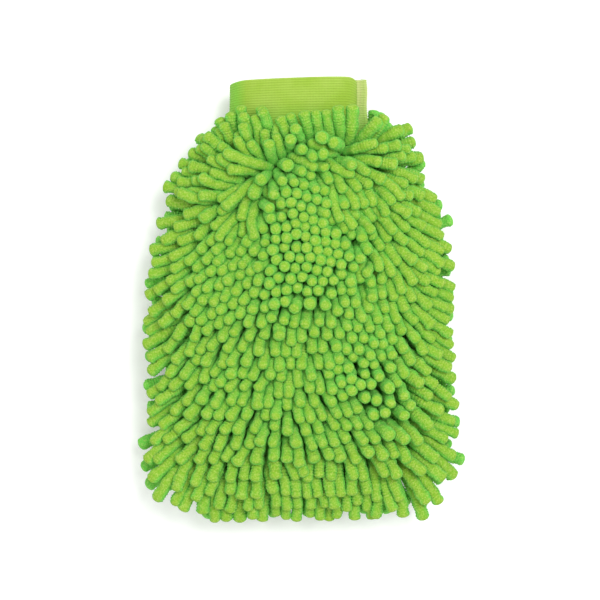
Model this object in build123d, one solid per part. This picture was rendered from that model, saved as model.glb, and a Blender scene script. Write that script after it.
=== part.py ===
"""A chenille wash mitt: a pile-covered pouch with a lining and a ribbed, elastic cuff.

Millimetres, +Z up. The mitt lies on its back panel with the cuff towards +Y, and the hand
space is held open. The origin is under the middle of the mitt, on the surface it lies on.
"""

from build123d import *
import math
import os

# Pouch: its outline in plan, and how far the cloth stands up either side of the seam
POUCH_BOTTOM = -108.0
NECK_Y = 92.0
WIDEST_Y = -20.0
POUCH_HALF_WIDTH = 71.0
NECK_HALF_WIDTH = 44.0
CORNER_RADIUS = 28.0
POUCH_HALF_HEIGHT = 15.5
NECK_HALF_HEIGHT = 17.5
FINGERTIP_TAPER = 42.0
SEAM_Z = 31.5

# Cloth
BASE_CLOTH = 1.2
LINING = 0.8
PLY_GAP = 0.3
SEAM_HALF_THICKNESS = 1.0
SEAM_ALLOWANCE = 6.0
SEAM_TOP_Y = 82.0

# Tufts, in stitch lines that run from the cuff to the fingertips
TUFT_RADIUS = 3.1
TUFT_ROOT_RADIUS = 2.5
TUFT_NECK = 3.0
TUFT_LENGTH = 25.0
TUFT_PITCH = 7.6
LINE_PITCH = 7.35
LINES_PER_SIDE = 20
FIRST_TUFT_Y = -106.0
LAST_TUFT_Y = 90.0
ROOT_GAP = 0.4
EDGE_HEIGHT = 3.6
EDGE_TILT = 78.0
END_ZONE = 52.0
NECK_ZONE = 34.0
NECK_TILT = 40.0

# Cuff: a rib knit doubled over at its top edge, with elastic threads between its two plies
CUFF_TOP = 130.0
CUFF_BOTTOM = 86.0
CUFF_CENTRE_X = -4.0
CUFF_HALF_WIDTH = 37.5
CUFF_HALF_HEIGHT = 13.0
CUFF_PLY = 0.9
CUFF_SLOT = 1.1
CUFF_FOLD = 1.2
ELASTIC_RADIUS = 0.4
ELASTIC_PITCH = 3.0
FLANGE_WIDTH = 7.0
FLANGE_THICKNESS = 2.4
FLANGE_BOTTOM = 96.5
FLANGE_TOP = 128.0
NECK_SEAM_WIDTH = 3.6
NECK_SEAM_GAP = 0.2


def cross_section(y, half_width, half_height, centre_x=0.0):
    """An elliptical face across the mitt at y, standing in the XZ plane."""
    plane = Plane(origin=(centre_x, y, SEAM_Z), x_dir=(1, 0, 0), z_dir=(0, -1, 0))
    return plane * Ellipse(half_width, half_height)


def tube_length(y_low, y_high, half_width, half_height, centre_x=0.0):
    """A solid elliptical bar along Y."""
    return extrude(cross_section(y_low, half_width, half_height, centre_x), y_low - y_high)


def outline_half_width(y, inset=0.0):
    """Half the width of the pouch in plan, inset mm inside its outer cloth."""
    shoulder = min(max((NECK_Y - y) / (NECK_Y - WIDEST_Y), 0.0), 1.0)
    width = NECK_HALF_WIDTH + (POUCH_HALF_WIDTH - NECK_HALF_WIDTH) * (1 - (1 - shoulder) ** 2)
    below = POUCH_BOTTOM + inset + CORNER_RADIUS - y
    if below > 0:
        depth = min(below, CORNER_RADIUS)
        width -= CORNER_RADIUS - math.sqrt(CORNER_RADIUS**2 - depth**2)
    return width - inset


def outline_half_height(y, inset=0.0):
    """Half the height of the pouch over its seam plane, inset mm inside its outer cloth."""
    rise = min(max((y - WIDEST_Y) / (NECK_Y - WIDEST_Y), 0.0), 1.0)
    height = POUCH_HALF_HEIGHT + (NECK_HALF_HEIGHT - POUCH_HALF_HEIGHT) * rise
    below = POUCH_BOTTOM + inset + FINGERTIP_TAPER - y
    if below > 0:
        height *= math.sqrt(max(1 - (below / FINGERTIP_TAPER) ** 2, 0.0))
    return max(height - inset, 0.6)


def pouch_solid(inset, overrun=0.0):
    """The whole pouch as one lofted solid, inset mm inside the outer face of its cloth."""
    bottom = POUCH_BOTTOM + inset
    steps = (1.5, 5.0, 12.0, 23.0, 40.0, 62.0, 90.0, 120.0, 148.0, 174.0)
    stations = [bottom + step for step in steps] + [NECK_Y + overrun]
    faces = []
    for y in stations:
        face = cross_section(y, outline_half_width(y, inset), outline_half_height(y, inset))
        faces.append(face)
    return loft(faces)


def above_seam(side):
    """The half of space over the seam strip (side 1) or under it (side -1)."""
    reach = 200.0
    middle = SEAM_Z + side * (SEAM_HALF_THICKNESS + 0.15 + reach / 2)
    return Pos(0, 0, middle) * Box(2 * reach, 2 * reach, reach)


def shell_half(outer_inset, thickness, side):
    """One panel of cloth: the front (side 1) or back (side -1) half of a layer of the pouch."""
    layer = pouch_solid(outer_inset) - pouch_solid(outer_inset + thickness, overrun=2.0)
    return layer & above_seam(side)


def body_seam():
    """The overlocked allowance between the two panels, round the sides and the fingertips."""
    ring = pouch_solid(0.0) - pouch_solid(SEAM_ALLOWANCE, overrun=2.0)
    length = SEAM_TOP_Y - POUCH_BOTTOM
    slab = Box(4 * POUCH_HALF_WIDTH, length, 2 * SEAM_HALF_THICKNESS)
    return ring & (Pos(0, POUCH_BOTTOM + length / 2, SEAM_Z) * slab)


def cuff_ring(y_low, y_high, outer_inset, inner_inset):
    """An elliptical band of the cuff between two depths below its outer face."""
    outer = tube_length(
        y_low, y_high, CUFF_HALF_WIDTH - outer_inset, CUFF_HALF_HEIGHT - outer_inset, CUFF_CENTRE_X
    )
    inner = tube_length(
        y_low, y_high, CUFF_HALF_WIDTH - inner_inset, CUFF_HALF_HEIGHT - inner_inset, CUFF_CENTRE_X
    )
    return outer - inner


def rib_knit_cuff():
    """The cuff's knit: two plies joined by the fold at the wrist edge."""
    wall = 2 * CUFF_PLY + CUFF_SLOT
    band = cuff_ring(CUFF_BOTTOM, CUFF_TOP, 0.0, wall)
    slot = cuff_ring(CUFF_BOTTOM, CUFF_TOP - CUFF_FOLD, CUFF_PLY, CUFF_PLY + CUFF_SLOT)
    return band - slot


def elastic_threads():
    """The rubber threads knitted round the cuff, one closed ring each."""
    depth = CUFF_PLY + CUFF_SLOT / 2
    inner = depth + ELASTIC_RADIUS
    outer = depth - ELASTIC_RADIUS
    count = int((CUFF_TOP - CUFF_FOLD - CUFF_BOTTOM - ELASTIC_PITCH) / ELASTIC_PITCH) + 1
    threads = []
    for i in range(count):
        y = CUFF_BOTTOM + ELASTIC_PITCH / 2 + i * ELASTIC_PITCH
        threads.append(cuff_ring(y, y + 2 * ELASTIC_RADIUS, outer, inner))
    return threads


def cuff_side_flange():
    """The overlocked side seam of the cuff, which stands out to the right."""
    left = CUFF_CENTRE_X + CUFF_HALF_WIDTH + 0.05
    length = FLANGE_TOP - FLANGE_BOTTOM
    middle = (left + FLANGE_WIDTH / 2, FLANGE_BOTTOM + length / 2, SEAM_Z)
    flange = Pos(*middle) * Box(FLANGE_WIDTH, length, FLANGE_THICKNESS)
    return fillet(flange.edges().filter_by(Axis.Y), FLANGE_THICKNESS * 0.45)


def neck_seam():
    """The taped seam that gathers the pouch's neck on to the cuff."""
    y_low = NECK_Y + NECK_SEAM_GAP
    y_high = y_low + NECK_SEAM_WIDTH
    outer = tube_length(y_low, y_high, NECK_HALF_WIDTH, NECK_HALF_HEIGHT)
    inner = tube_length(
        y_low,
        y_high,
        CUFF_HALF_WIDTH + NECK_SEAM_GAP,
        CUFF_HALF_HEIGHT + NECK_SEAM_GAP,
        CUFF_CENTRE_X,
    )
    return outer - inner


def tuft(length):
    """One chenille tuft: a narrow root on the cloth, a round body and a domed tip."""
    shoulder = length - TUFT_RADIUS
    dome = math.sqrt(0.5) * TUFT_RADIUS
    profile = Polyline(
        (0, length), (0, 0), (TUFT_ROOT_RADIUS, 0), (TUFT_RADIUS, TUFT_NECK), (TUFT_RADIUS, shoulder)
    )
    tip = ThreePointArc((TUFT_RADIUS, shoulder), (dome, shoulder + dome), (0, length))
    face = Plane.XZ * make_face(profile + tip)
    return revolve(face, Axis.Z, 360)


def surface_height(x, y):
    """Height of the cloth's outer face over the seam plane."""
    share = min(abs(x) / outline_half_width(y), 1.0)
    return outline_half_height(y) * math.sqrt(1 - share**2)


def across_at(y, arc):
    """The x that lies arc mm from the middle, measured along the cloth, or None past the edge."""
    edge = outline_half_width(y)
    steps = 60
    x, z, travelled = 0.0, surface_height(0.0, y), 0.0
    for i in range(1, steps + 1):
        next_x = edge * math.sin(math.pi / 2 * i / steps)
        next_z = surface_height(next_x, y)
        stride = math.hypot(next_x - x, next_z - z)
        if travelled + stride >= abs(arc):
            share = (abs(arc) - travelled) / stride
            return math.copysign(x + share * (next_x - x), arc)
        x, z, travelled = next_x, next_z, travelled + stride
    return None


def cloth_normal(x, y):
    """The outward unit normal of the front cloth, found from the heights around a point."""
    step = 0.5
    inner = x - math.copysign(step, x)
    slope_x = (surface_height(x, y) - surface_height(inner, y)) / (x - inner)
    slope_y = (surface_height(x, y + step) - surface_height(x, y - step)) / (2 * step)
    size = math.sqrt(slope_x**2 + slope_y**2 + 1)
    return -slope_x / size, -slope_y / size, 1 / size


def lean(x, y):
    """How far a tuft leans outwards, as a plan vector whose length is the tilt in degrees."""
    side = (x / outline_half_width(y)) ** 3 * EDGE_TILT
    below = min(max((POUCH_BOTTOM + END_ZONE - y) / END_ZONE, 0.0), 1.0)
    over = min(max((y - NECK_Y + NECK_ZONE) / NECK_ZONE, 0.0), 1.0)
    along = NECK_TILT * over - EDGE_TILT * below**2
    tilt = math.hypot(side, along)
    limit = EDGE_TILT / max(tilt, EDGE_TILT)
    return side * limit, along * limit


def tuft_axis(x, y):
    """The unit direction in which a front tuft stands."""
    lean_x, lean_y = lean(x, y)
    tilt = math.radians(math.hypot(lean_x, lean_y))
    heading = math.atan2(lean_y, lean_x)
    return math.sin(tilt) * math.cos(heading), math.sin(tilt) * math.sin(heading), math.cos(tilt)


def tuft_places(line):
    """Root and direction of every tuft in one stitch line of the front, over the seam plane."""
    arc = (line - (LINES_PER_SIDE - 1) / 2) * LINE_PITCH
    count = int((LAST_TUFT_Y - FIRST_TUFT_Y) / TUFT_PITCH) + 1
    stagger = 0.5 * TUFT_PITCH if line % 2 else 0.0
    places = []
    for i in range(count):
        y = FIRST_TUFT_Y + stagger + i * TUFT_PITCH
        x = across_at(y, arc) if y <= LAST_TUFT_Y else None
        if x is None or surface_height(x, y) < EDGE_HEIGHT:
            continue
        normal = cloth_normal(x, y)
        axis = tuft_axis(x, y)
        upright = min(sum(n * a for n, a in zip(normal, axis)), 1.0)
        lift = ROOT_GAP + TUFT_ROOT_RADIUS * math.sqrt(1 - upright**2)
        root = (x + lift * normal[0], y + lift * normal[1], surface_height(x, y) + lift * normal[2])
        places.append((root, axis))
    return places


def placed_tuft(root, axis, side):
    """A tuft on the front (side 1) or back cloth (side -1), cut flat where the surface presses it."""
    origin = (root[0], root[1], SEAM_Z + side * root[2])
    piece = Plane(origin=origin, x_dir=(axis[2], 0, -side * axis[0]), z_dir=(*axis[:2], side * axis[2]))
    piece = piece * tuft(TUFT_LENGTH)
    if piece.bounding_box().min.Z < 0:
        piece = split(piece, bisect_by=Plane.XY, keep=Keep.TOP)
    return piece


def tuft_line(line, side):
    """Every tuft of one stitch line, each a solid of its own."""
    return [placed_tuft(root, axis, side) for root, axis in tuft_places(line)]


def write(name, shapes):
    """Write one node to its own file."""
    solids = [solid for shape in shapes for solid in shape.solids()]
    node = Compound(label=name, children=solids)
    export_step(node, f"parts/{name}.step")


def main():
    os.makedirs("parts", exist_ok=True)
    write("front_base_cloth", [shell_half(0.0, BASE_CLOTH, 1)])
    write("back_base_cloth", [shell_half(0.0, BASE_CLOTH, -1)])
    write("front_lining", [shell_half(BASE_CLOTH + PLY_GAP, LINING, 1)])
    write("back_lining", [shell_half(BASE_CLOTH + PLY_GAP, LINING, -1)])
    write("body_seam", [body_seam()])
    write("rib_knit_cuff", [rib_knit_cuff()])
    write("cuff_elastic_threads", elastic_threads())
    write("cuff_side_seam", [cuff_side_flange()])
    write("neck_seam", [neck_seam()])
    for line in range(LINES_PER_SIDE):
        write(f"front_tuft_line_{line + 1:02d}", tuft_line(line, 1))
        write(f"back_tuft_line_{line + 1:02d}", tuft_line(line, -1))


main()
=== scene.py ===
"""Looks of the chenille wash mitt: combed tufts on both faces, ribbed cuff, lining and seams.

The mitt lies on its back panel, +Z up and +Y towards the cuff. The pile is worked out in
millimetres and turned into metres when its meshes are made.
"""

import math

import bpy
import numpy as np
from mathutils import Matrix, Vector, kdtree


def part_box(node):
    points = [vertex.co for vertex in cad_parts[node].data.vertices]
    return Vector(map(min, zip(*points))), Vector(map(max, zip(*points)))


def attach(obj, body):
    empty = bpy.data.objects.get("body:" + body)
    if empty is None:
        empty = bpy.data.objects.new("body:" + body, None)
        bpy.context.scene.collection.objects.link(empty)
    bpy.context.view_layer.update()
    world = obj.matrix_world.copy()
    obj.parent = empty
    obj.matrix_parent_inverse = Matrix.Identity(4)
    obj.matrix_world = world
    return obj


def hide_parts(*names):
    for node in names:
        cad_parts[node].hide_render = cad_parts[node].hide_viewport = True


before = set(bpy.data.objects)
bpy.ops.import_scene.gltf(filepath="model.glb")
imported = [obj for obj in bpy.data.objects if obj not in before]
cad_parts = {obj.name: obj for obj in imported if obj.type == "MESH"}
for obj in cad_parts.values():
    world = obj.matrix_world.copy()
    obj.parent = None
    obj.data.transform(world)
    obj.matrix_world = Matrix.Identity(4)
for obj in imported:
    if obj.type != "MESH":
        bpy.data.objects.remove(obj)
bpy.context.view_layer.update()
MM = 0.001
BODY = "root"
LINES = 20
rng = np.random.default_rng(11)


def millimetres(node):
    """A CAD node's lowest and highest corners in millimetres."""
    low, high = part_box(node)
    return np.array(low) / MM, np.array(high) / MM


# The pouch and its trim, read off the frame; the cuff is an oval, CUFF_A by CUFF_B
CLOTH_LOW, CLOTH_HIGH = millimetres("front_base_cloth")
SEAM_LOW, SEAM_HIGH = millimetres("body_seam")
CUFF_LOW, CUFF_HIGH = millimetres("rib_knit_cuff")
FLANGE_LOW, FLANGE_HIGH = millimetres("cuff_side_seam")
NECK_LOW, NECK_HIGH = millimetres("neck_seam")
SEAM_Z = (SEAM_LOW[2] + SEAM_HIGH[2]) / 2
HALF_WIDTH = CLOTH_HIGH[0]
BOTTOM_Y = CLOTH_LOW[1] - 1.5
NECK_Y = CLOTH_HIGH[1]
NECK_HALF_WIDTH = NECK_HIGH[0]
NECK_RISE = CLOTH_HIGH[2] - SEAM_Z
MIDDLE_RISE = NECK_RISE - 2.0
CUFF_X = (CUFF_LOW[0] + CUFF_HIGH[0]) / 2
CUFF_A = (CUFF_HIGH[0] - CUFF_LOW[0]) / 2
CUFF_B = (CUFF_HIGH[2] - CUFF_LOW[2]) / 2
WIDEST_Y = -20.0
CORNER_RADIUS = 28.0
FINGERTIP_TAPER = 42.0

# The pile: NODES points on each centre line, which push apart when nearer than TOUCHING
TUFT_RADIUS = 3.6
TUFT_LENGTH = 27.0
BACK_SHORTER = 3.0
LINE_PITCH = 7.2
ROW_PITCH = 7.8
NODES = 9
TOUCHING = 6.1
CLEARANCE = 0.9 * TUFT_RADIUS
GATHERED_FROM_Y = 50
DENSEST_Y = 14
FLATTEST_BEND = 1.55

# Chance in the tufts' places, headings, leans, curls and lengths
ROOT_SCATTER = 0.35
HEADING_SCATTER, LEAN_SCATTER, CURL_SCATTER = 0.10, 0.08, 0.24
LENGTH_SCATTER = 1.0

# How the pile settles: number of steps, pull back to the combed shape, push and evening
STEPS = 110
COMB_PULL, LAST_PULL = 0.10, 0.03
PUSH = 1.3
EVENING = 0.12

# The knit and the seams
RIB_PITCH = 1.5
RIB_DEPTH = 0.30
CUFF_WALL = 2.9
SHADED_BELOW_Y = 114
SEAM_UNDER_PILE = 8.0
SEAM_END_Y = 82

# Strokes that comb the front pile: x, y in mm, heading from +X and lean from upright in degrees
COMB = np.array([
    # Over the neck and the foot of the cuff
    (-44, 97, 98, 50), (-36, 98, 102, 64), (-28, 97, 106, 70), (-20, 97, 108, 68),
    (-12, 96, 98, 65), (-3, 97, 105, 68), (4, 98, 112, 72), (12, 98, 95, 68), (20, 98, 90, 68),
    (28, 99, 88, 68), (36, 100, 80, 68), (44, 101, 66, 70),
    # Right shoulder
    (53, 96, 45, 73), (60, 89, 24, 75), (63, 83, 10, 76), (67, 77, 3, 76), (48, 84, 12, 74),
    (36, 87, 12, 70), (38, 79, 350, 72), (52, 75, 350, 74), (67, 69, 350, 76), (24, 76, 325, 76),
    (35, 64, 309, 72), (46, 67, 315, 74), (57, 63, 333, 74), (69, 60, 335, 76), (79, 54, 335, 77),
    (57, 50, 317, 74), (46, 54, 306, 73), (70, 48, 325, 75), (81, 40, 338, 77), (85, 29, 336, 77),
    (42, 44, 297, 72), (32, 46, 284, 73), (24, 45, 280, 72), (17, 53, 270, 78), (11, 67, 285, 55),
    (4, 62, 272, 58), (11, 55, 280, 30),
    # Crown, where the lays part
    (5, 77, 335, 68), (14, 85, 172, 62), (-3, 84, 320, 62), (-7, 87, 135, 60), (-14, 90, 97, 62),
    (-28, 87, 95, 62), (-6, 72, 320, 44), (-5, 62, 290, 22), (-15, 66, 230, 24), (-17, 57, 312, 70),
    (-10, 50, 290, 22),
    # Left shoulder
    (-41, 90, 106, 68), (-49, 91, 118, 52), (-50, 87, 157, 77), (-31, 77, 173, 80),
    (-59, 82, 168, 77), (-61, 76, 180, 77), (-44, 69, 157, 70), (-61, 69, 176, 75),
    (-71, 62, 180, 77), (-50, 60, 173, 74), (-66, 54, 173, 75), (-73, 47, 172, 77),
    (-35, 58, 226, 74), (-53, 47, 225, 34), (-67, 40, 196, 74), (-79, 33, 188, 77),
    (-54, 37, 216, 68), (-38, 42, 249, 68), (-25, 42, 268, 76), (-32, 38, 259, 68),
    (-46, 31, 245, 48),
    # Left side
    (-69, 25, 207, 64), (-84, 22, 185, 77), (-57, 27, 230, 50), (-42, 26, 238, 42),
    (-28, 24, 236, 62), (-84, 12, 195, 75), (-68, 12, 214, 58), (-54, 14, 236, 42),
    (-40, 12, 236, 42), (-30, 6, 241, 50), (-19, 14, 232, 22), (-80, -3, 204, 72),
    (-64, -3, 232, 50), (-50, -3, 242, 34), (-37, -5, 240, 36), (-24, -3, 256, 22),
    (-89, -16, 203, 77), (-74, -18, 215, 70), (-59, -18, 246, 42), (-45, -16, 238, 36),
    (-31, -18, 256, 38), (-88, -32, 202, 76), (-71, -33, 226, 62), (-57, -33, 242, 42),
    (-39, -26, 236, 46), (-44, -40, 250, 36), (-30, -36, 241, 50), (-91, -46, 188, 74),
    (-72, -48, 228, 58), (-58, -48, 240, 42), (-14, -39, 248, 50),
    (-91, -62, 196, 74), (-75, -60, 212, 58), (-61, -62, 228, 50), (-46, -58, 243, 40),
    (-32, -60, 246, 38), (-17, -54, 262, 42), (-91, -77, 200, 75), (-75, -74, 216, 60),
    (-60, -76, 230, 54), (-45, -72, 236, 46), (-28, -68, 241, 46), (-14, -67, 284, 40),
    (-25, -75, 235, 30), (-12, -78, 250, 26),
    # Left of the fingertips
    (-91, -92, 200, 77), (-75, -89, 226, 64), (-60, -88, 238, 60), (-45, -87, 246, 52),
    (-33, -84, 240, 48), (-20, -85, 256, 40), (-84, -104, 217, 80), (-73, -101, 232, 68),
    (-60, -103, 247, 62), (-46, -101, 254, 60), (-35, -105, 262, 70), (-25, -100, 266, 74),
    (-74, -110, 232, 80), (-65, -116, 250, 78), (-53, -116, 264, 75), (-40, -114, 263, 74),
    (-24, -117, 270, 74), (-14, -104, 268, 62),
    # Fingertips
    (-6, -88, 296, 50), (4, -82, 280, 46), (14, -83, 292, 34), (24, -88, 256, 36), (24, -79, 310, 28),
    (-5, -100, 290, 60), (4, -110, 276, 68), (12, -97, 257, 62), (20, -98, 270, 62),
    (28, -98, 290, 62), (38, -98, 275, 64), (14, -116, 270, 75), (28, -116, 271, 75),
    (0, -118, 270, 74),
    # Middle, nearly upright
    (0, 35, 270, 5), (12, 38, 270, 6), (-9, 40, 280, 8), (0, 20, 270, 5), (14, 22, 280, 6),
    (-12, 28, 200, 14), (20, 32, 250, 20), (30, 29, 225, 30), (24, 14, 270, 18), (0, 7, 250, 10),
    (-14, 6, 255, 10), (12, 6, 300, 12), (-10, -7, 242, 26), (3, -6, 236, 30), (17, -6, 280, 26),
    (-20, -14, 262, 34), (-4, -15, 266, 40), (12, -15, 276, 36), (24, -17, 286, 42),
    (-18, -26, 266, 42), (-8, -24, 276, 46), (1, -26, 273, 46), (11, -24, 290, 46),
    (20, -26, 286, 40), (-20, -37, 266, 42), (-5, -37, 268, 44), (6, -37, 281, 46),
    (17, -37, 285, 44), (0, -50, 268, 40), (12, -50, 290, 40), (6, -62, 300, 50),
    (-5, -66, 270, 42), (4, -70, 300, 34), (14, -63, 306, 50), (22, -63, 304, 40), (22, -71, 312, 44),
    (30, -71, 290, 54),
    # Right of the middle
    (37, 18, 262, 66), (31, 6, 280, 34), (35, -6, 280, 42), (44, 8, 274, 62), (44, -6, 272, 62),
    (43, -17, 284, 44), (49, 18, 290, 68), (55, 3, 293, 70), (50, -12, 272, 60), (58, -16, 284, 70),
    (50, 36, 313, 74), (60, 28, 318, 74), (68, 34, 326, 75), (80, 20, 330, 77), (68, 13, 325, 75),
    (62, -1, 313, 73), (85, 5, 347, 77), (76, 0, 326, 75), (80, -10, 336, 77), (68, -20, 318, 73),
    (87, -22, 340, 77), (62, -34, 296, 68), (76, -34, 330, 75), (86, -36, 342, 77),
    # Right patch, upright again
    (46, -26, 290, 10), (53, -30, 280, 10), (26, -34, 290, 8), (33, -28, 292, 34), (32, -42, 270, 8),
    (41, -37, 300, 20), (54, -42, 310, 34), (26, -50, 300, 8), (42, -50, 320, 8), (53, -52, 290, 10),
    (36, -60, 290, 8), (46, -62, 280, 10), (56, -62, 295, 16), (63, -49, 320, 62),
    (40, -68, 300, 10), (47, -74, 312, 26), (32, -79, 308, 42), (42, -79, 324, 36),
    (56, -76, 308, 44), (41, -86, 318, 46), (50, -83, 312, 42), (31, -89, 281, 54),
    # Lower right
    (64, -62, 320, 58), (70, -70, 320, 66), (78, -58, 334, 74), (89, -52, 340, 77),
    (89, -66, 331, 77), (80, -75, 328, 75), (89, -84, 326, 77), (71, -85, 322, 68),
    (59, -92, 317, 60), (78, -96, 322, 74), (91, -99, 318, 79), (83, -107, 316, 79),
    (69, -101, 310, 70), (48, -97, 275, 68), (48, -112, 278, 73), (38, -113, 270, 73),
    (56, -110, 285, 72), (64, -108, 300, 74), (75, -114, 307, 78), (65, -118, 291, 77),
], float)
COMB_REACH = 6.5

# Single tufts that lie across the rest: root x, y in mm, heading in degrees, length in mm
STRAYS = np.array([
    (-17, 75, 172, 36), (-25, 67, 225, 33), (-38, 81, 152, 27), (-22, 66, 312, 31),
    (20, 83, 168, 27), (-5, 81, 336, 28), (13, 80, 327, 30), (26, 71, 309, 29), (17, 70, 270, 37),
    (37, 73, 307, 34), (-25, 56, 268, 34), (-33, 50, 249, 31), (23, 60, 279, 32),
    (29, 58, 286, 31), (38, 57, 298, 32), (-46, 58, 173, 31), (-30, 82, 96, 22), (-13, 84, 97, 22),
    (44, 22, 262, 24), (37, 27, 263, 27), (-36, 66, 157, 29),
], float)

# Places where the pile is longer or shorter: x, y, reach and change in mm
TRIMS = [
    (70, -93, 12, 7.5), (-70, -95, 12, 10.0), (-60, 42, 17, -4.0), (-52, 83, 8, -8.0),
    (-43, 92, 7, -8.5), (37, -108, 8, -3.0), (66, -104, 9, 2.5), (-54, -106, 9, -1.5),
    (70, 46, 16, 4.0), (52, 88, 8, -4.0), (77, -25, 34, -2.2), (-78, -30, 34, -1.8),
    (0, -112, 28, -2.5), (5, 34, 16, -3.5), (-6, 80, 14, -4.0), (44, -44, 12, -1.5),
]


def half_width(y, inset=0.0):
    """Half the pouch's width at y."""
    y = np.asarray(y, float)
    share = np.clip((NECK_Y - y) / (NECK_Y - WIDEST_Y), 0, 1)
    width = NECK_HALF_WIDTH + (HALF_WIDTH - NECK_HALF_WIDTH) * (1 - (1 - share) ** 2)
    below = np.clip(BOTTOM_Y + inset + CORNER_RADIUS - y, 0, CORNER_RADIUS)
    return width - CORNER_RADIUS + np.sqrt(CORNER_RADIUS**2 - below**2) - inset


def half_height(y, inset=0.0):
    """Half the pouch's height at y."""
    y = np.asarray(y, float)
    rise = np.clip((y - WIDEST_Y) / (NECK_Y - WIDEST_Y), 0, 1)
    height = MIDDLE_RISE + (NECK_RISE - MIDDLE_RISE) * rise
    below = np.clip((BOTTOM_Y + inset + FINGERTIP_TAPER - y) / FINGERTIP_TAPER, 0, 1)
    return np.maximum(height * np.sqrt(1 - below**2) - inset, 0.05)


def cloth_height(x, y):
    """Height of the cloth over the seam plane, 0 outside the outline."""
    share = np.clip(np.abs(x) / half_width(y), 0, 1)
    inside = np.where(np.asarray(y) < BOTTOM_Y, 0.0, 1.0)
    return inside * half_height(y) * np.sqrt(1 - share**2)


def cloth_normals(x, y):
    """Outward unit normals of the front cloth."""
    step = 0.4
    inner = x * 0.995 - np.sign(x) * 0.02
    slope_x = (cloth_height(x, y) - cloth_height(inner, y)) / (x - inner + 1e-9)
    slope_y = (cloth_height(x, y + step) - cloth_height(x, y - step)) / (2 * step)
    normal = np.stack([-slope_x, -slope_y, np.ones_like(slope_x)], -1)
    return normal / np.linalg.norm(normal, axis=-1, keepdims=True)


def neck_share(y):
    """From 0 in the pouch to 1 at the neck, where the cloth is gathered and the pile denser."""
    return np.clip((y - GATHERED_FROM_Y) / (NECK_Y - GATHERED_FROM_Y), 0, 1)


def even_rows():
    """The rows' y from the fingertips to the neck, closer in the middle and in the gathers."""
    y = BOTTOM_Y + (NECK_Y - BOTTOM_Y) * np.linspace(0, 1, 600) ** 1.6
    crowding = 1 + 0.55 * neck_share(y[1:]) + 0.42 * np.exp(-(((y[1:] - DENSEST_Y) / 23) ** 2))
    arc = np.r_[0, np.cumsum(np.hypot(np.diff(y), np.diff(half_height(y))) * crowding)]
    count = int(arc[-1] / ROW_PITCH)
    return np.interp((np.arange(count) + 0.5) * arc[-1] / count, arc, y)


def row_places(y, shift):
    """x of the tufts across one row, closer together in the middle of the panel."""
    x = half_width(y) * np.sin(np.linspace(0, math.pi / 2, 200))
    middle = np.exp(-((x[1:] / 18) ** 2) - ((y - 22) / 24) ** 2)
    closeness = 1.12 - 0.24 * x[1:] / HALF_WIDTH + 0.28 * middle
    arc = np.r_[0, np.cumsum(np.hypot(np.diff(x), np.diff(cloth_height(x, y))) * closeness)]
    count = int(round(2 * arc[-1] / LINE_PITCH * (1 + 0.30 * neck_share(y))))
    place = (np.arange(count) + 0.5 + shift) * 2 * arc[-1] / count - arc[-1]
    return np.sign(place) * np.interp(np.abs(place), arc, x)


def stray_lines(places):
    """The stitch lines that the tufts lying across the rest are sewn into."""
    share = 0.5 + 0.5 * places[:, 0] / half_width(places[:, 1])
    return np.clip(share * LINES, 0, LINES - 1).astype(int)


def tuft_roots(side):
    """Roots of one face's tufts and the stitch line that each belongs to."""
    roots, lines = [], []
    for number, y in enumerate(even_rows()):
        shift = 0.2 if number % 2 else -0.2
        xs = row_places(y, shift)
        for i, x in enumerate(xs):
            roots.append((x, y))
            lines.append(int(i * LINES / len(xs)))
    roots = np.array(roots) + rng.normal(0, ROOT_SCATTER, (len(roots), 2))
    if side > 0:
        roots = np.concatenate([roots, STRAYS[:, :2]])
        lines += list(stray_lines(STRAYS[:, :2]))
    roots[:, 1] = np.clip(roots[:, 1], BOTTOM_Y + 0.6, NECK_Y - 0.5)
    limit = half_width(roots[:, 1]) - 0.4
    roots[:, 0] = np.clip(roots[:, 0], -limit, limit)
    z = SEAM_Z + side * cloth_height(roots[:, 0], roots[:, 1])
    normal = cloth_normals(roots[:, 0], roots[:, 1]) * (1, 1, side)
    return np.c_[roots, z], normal, np.array(lines)


def comb_field(places):
    """The combed heading (radians) and lean (radians) at each place."""
    heading, lean = np.radians(COMB[:, 2]), np.radians(COMB[:, 3])
    lay = np.stack([np.sin(lean) * np.cos(heading), np.sin(lean) * np.sin(heading)], -1)
    gap = ((places[:, None, :2] - COMB[None, :, :2]) ** 2).sum(-1)
    weight = np.exp(-gap / (2 * COMB_REACH**2)) + 1e-9
    flow = (weight[:, :, None] * lay).sum(1) / weight.sum(1, keepdims=True)
    size = np.linalg.norm(flow, axis=1)
    return np.arctan2(flow[:, 1], flow[:, 0]), np.arcsin(np.clip(size, 0, 0.97))


def outward_field(places):
    """Heading and lean of the back pile, which spreads out from the middle of the panel."""
    x = places[:, 0] - 0.9 * np.clip(places[:, 0], -44, 44)
    y = places[:, 1] - 0.9 * np.clip(places[:, 1], -82, 55)
    lean = np.radians(38 + 42 * np.clip(np.hypot(x, y) / 26, 0, 1))
    return np.arctan2(y, x), lean


def tuft_lengths(roots, side, length):
    """Length of each tuft, with the trims and a little chance."""
    total = length + np.clip(rng.normal(0, LENGTH_SCATTER, len(roots)), -2.2, 2.2)
    for x, y, reach, change in TRIMS:
        gap = (roots[:, 0] - x) ** 2 + (roots[:, 1] - y) ** 2
        total += change * np.exp(-gap / (2 * reach**2))
    if side > 0:
        total[-len(STRAYS):] = STRAYS[:, 3]
    return total


def edge_share(places):
    """From 0 in the middle of a panel to 1 at its seam."""
    across = np.abs(places[:, 0]) / half_width(places[:, 1])
    along = (BOTTOM_Y + 24 - places[:, 1]) / 24
    return np.clip(np.maximum((across - 0.74) / 0.22, along), 0, 1)


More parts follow.
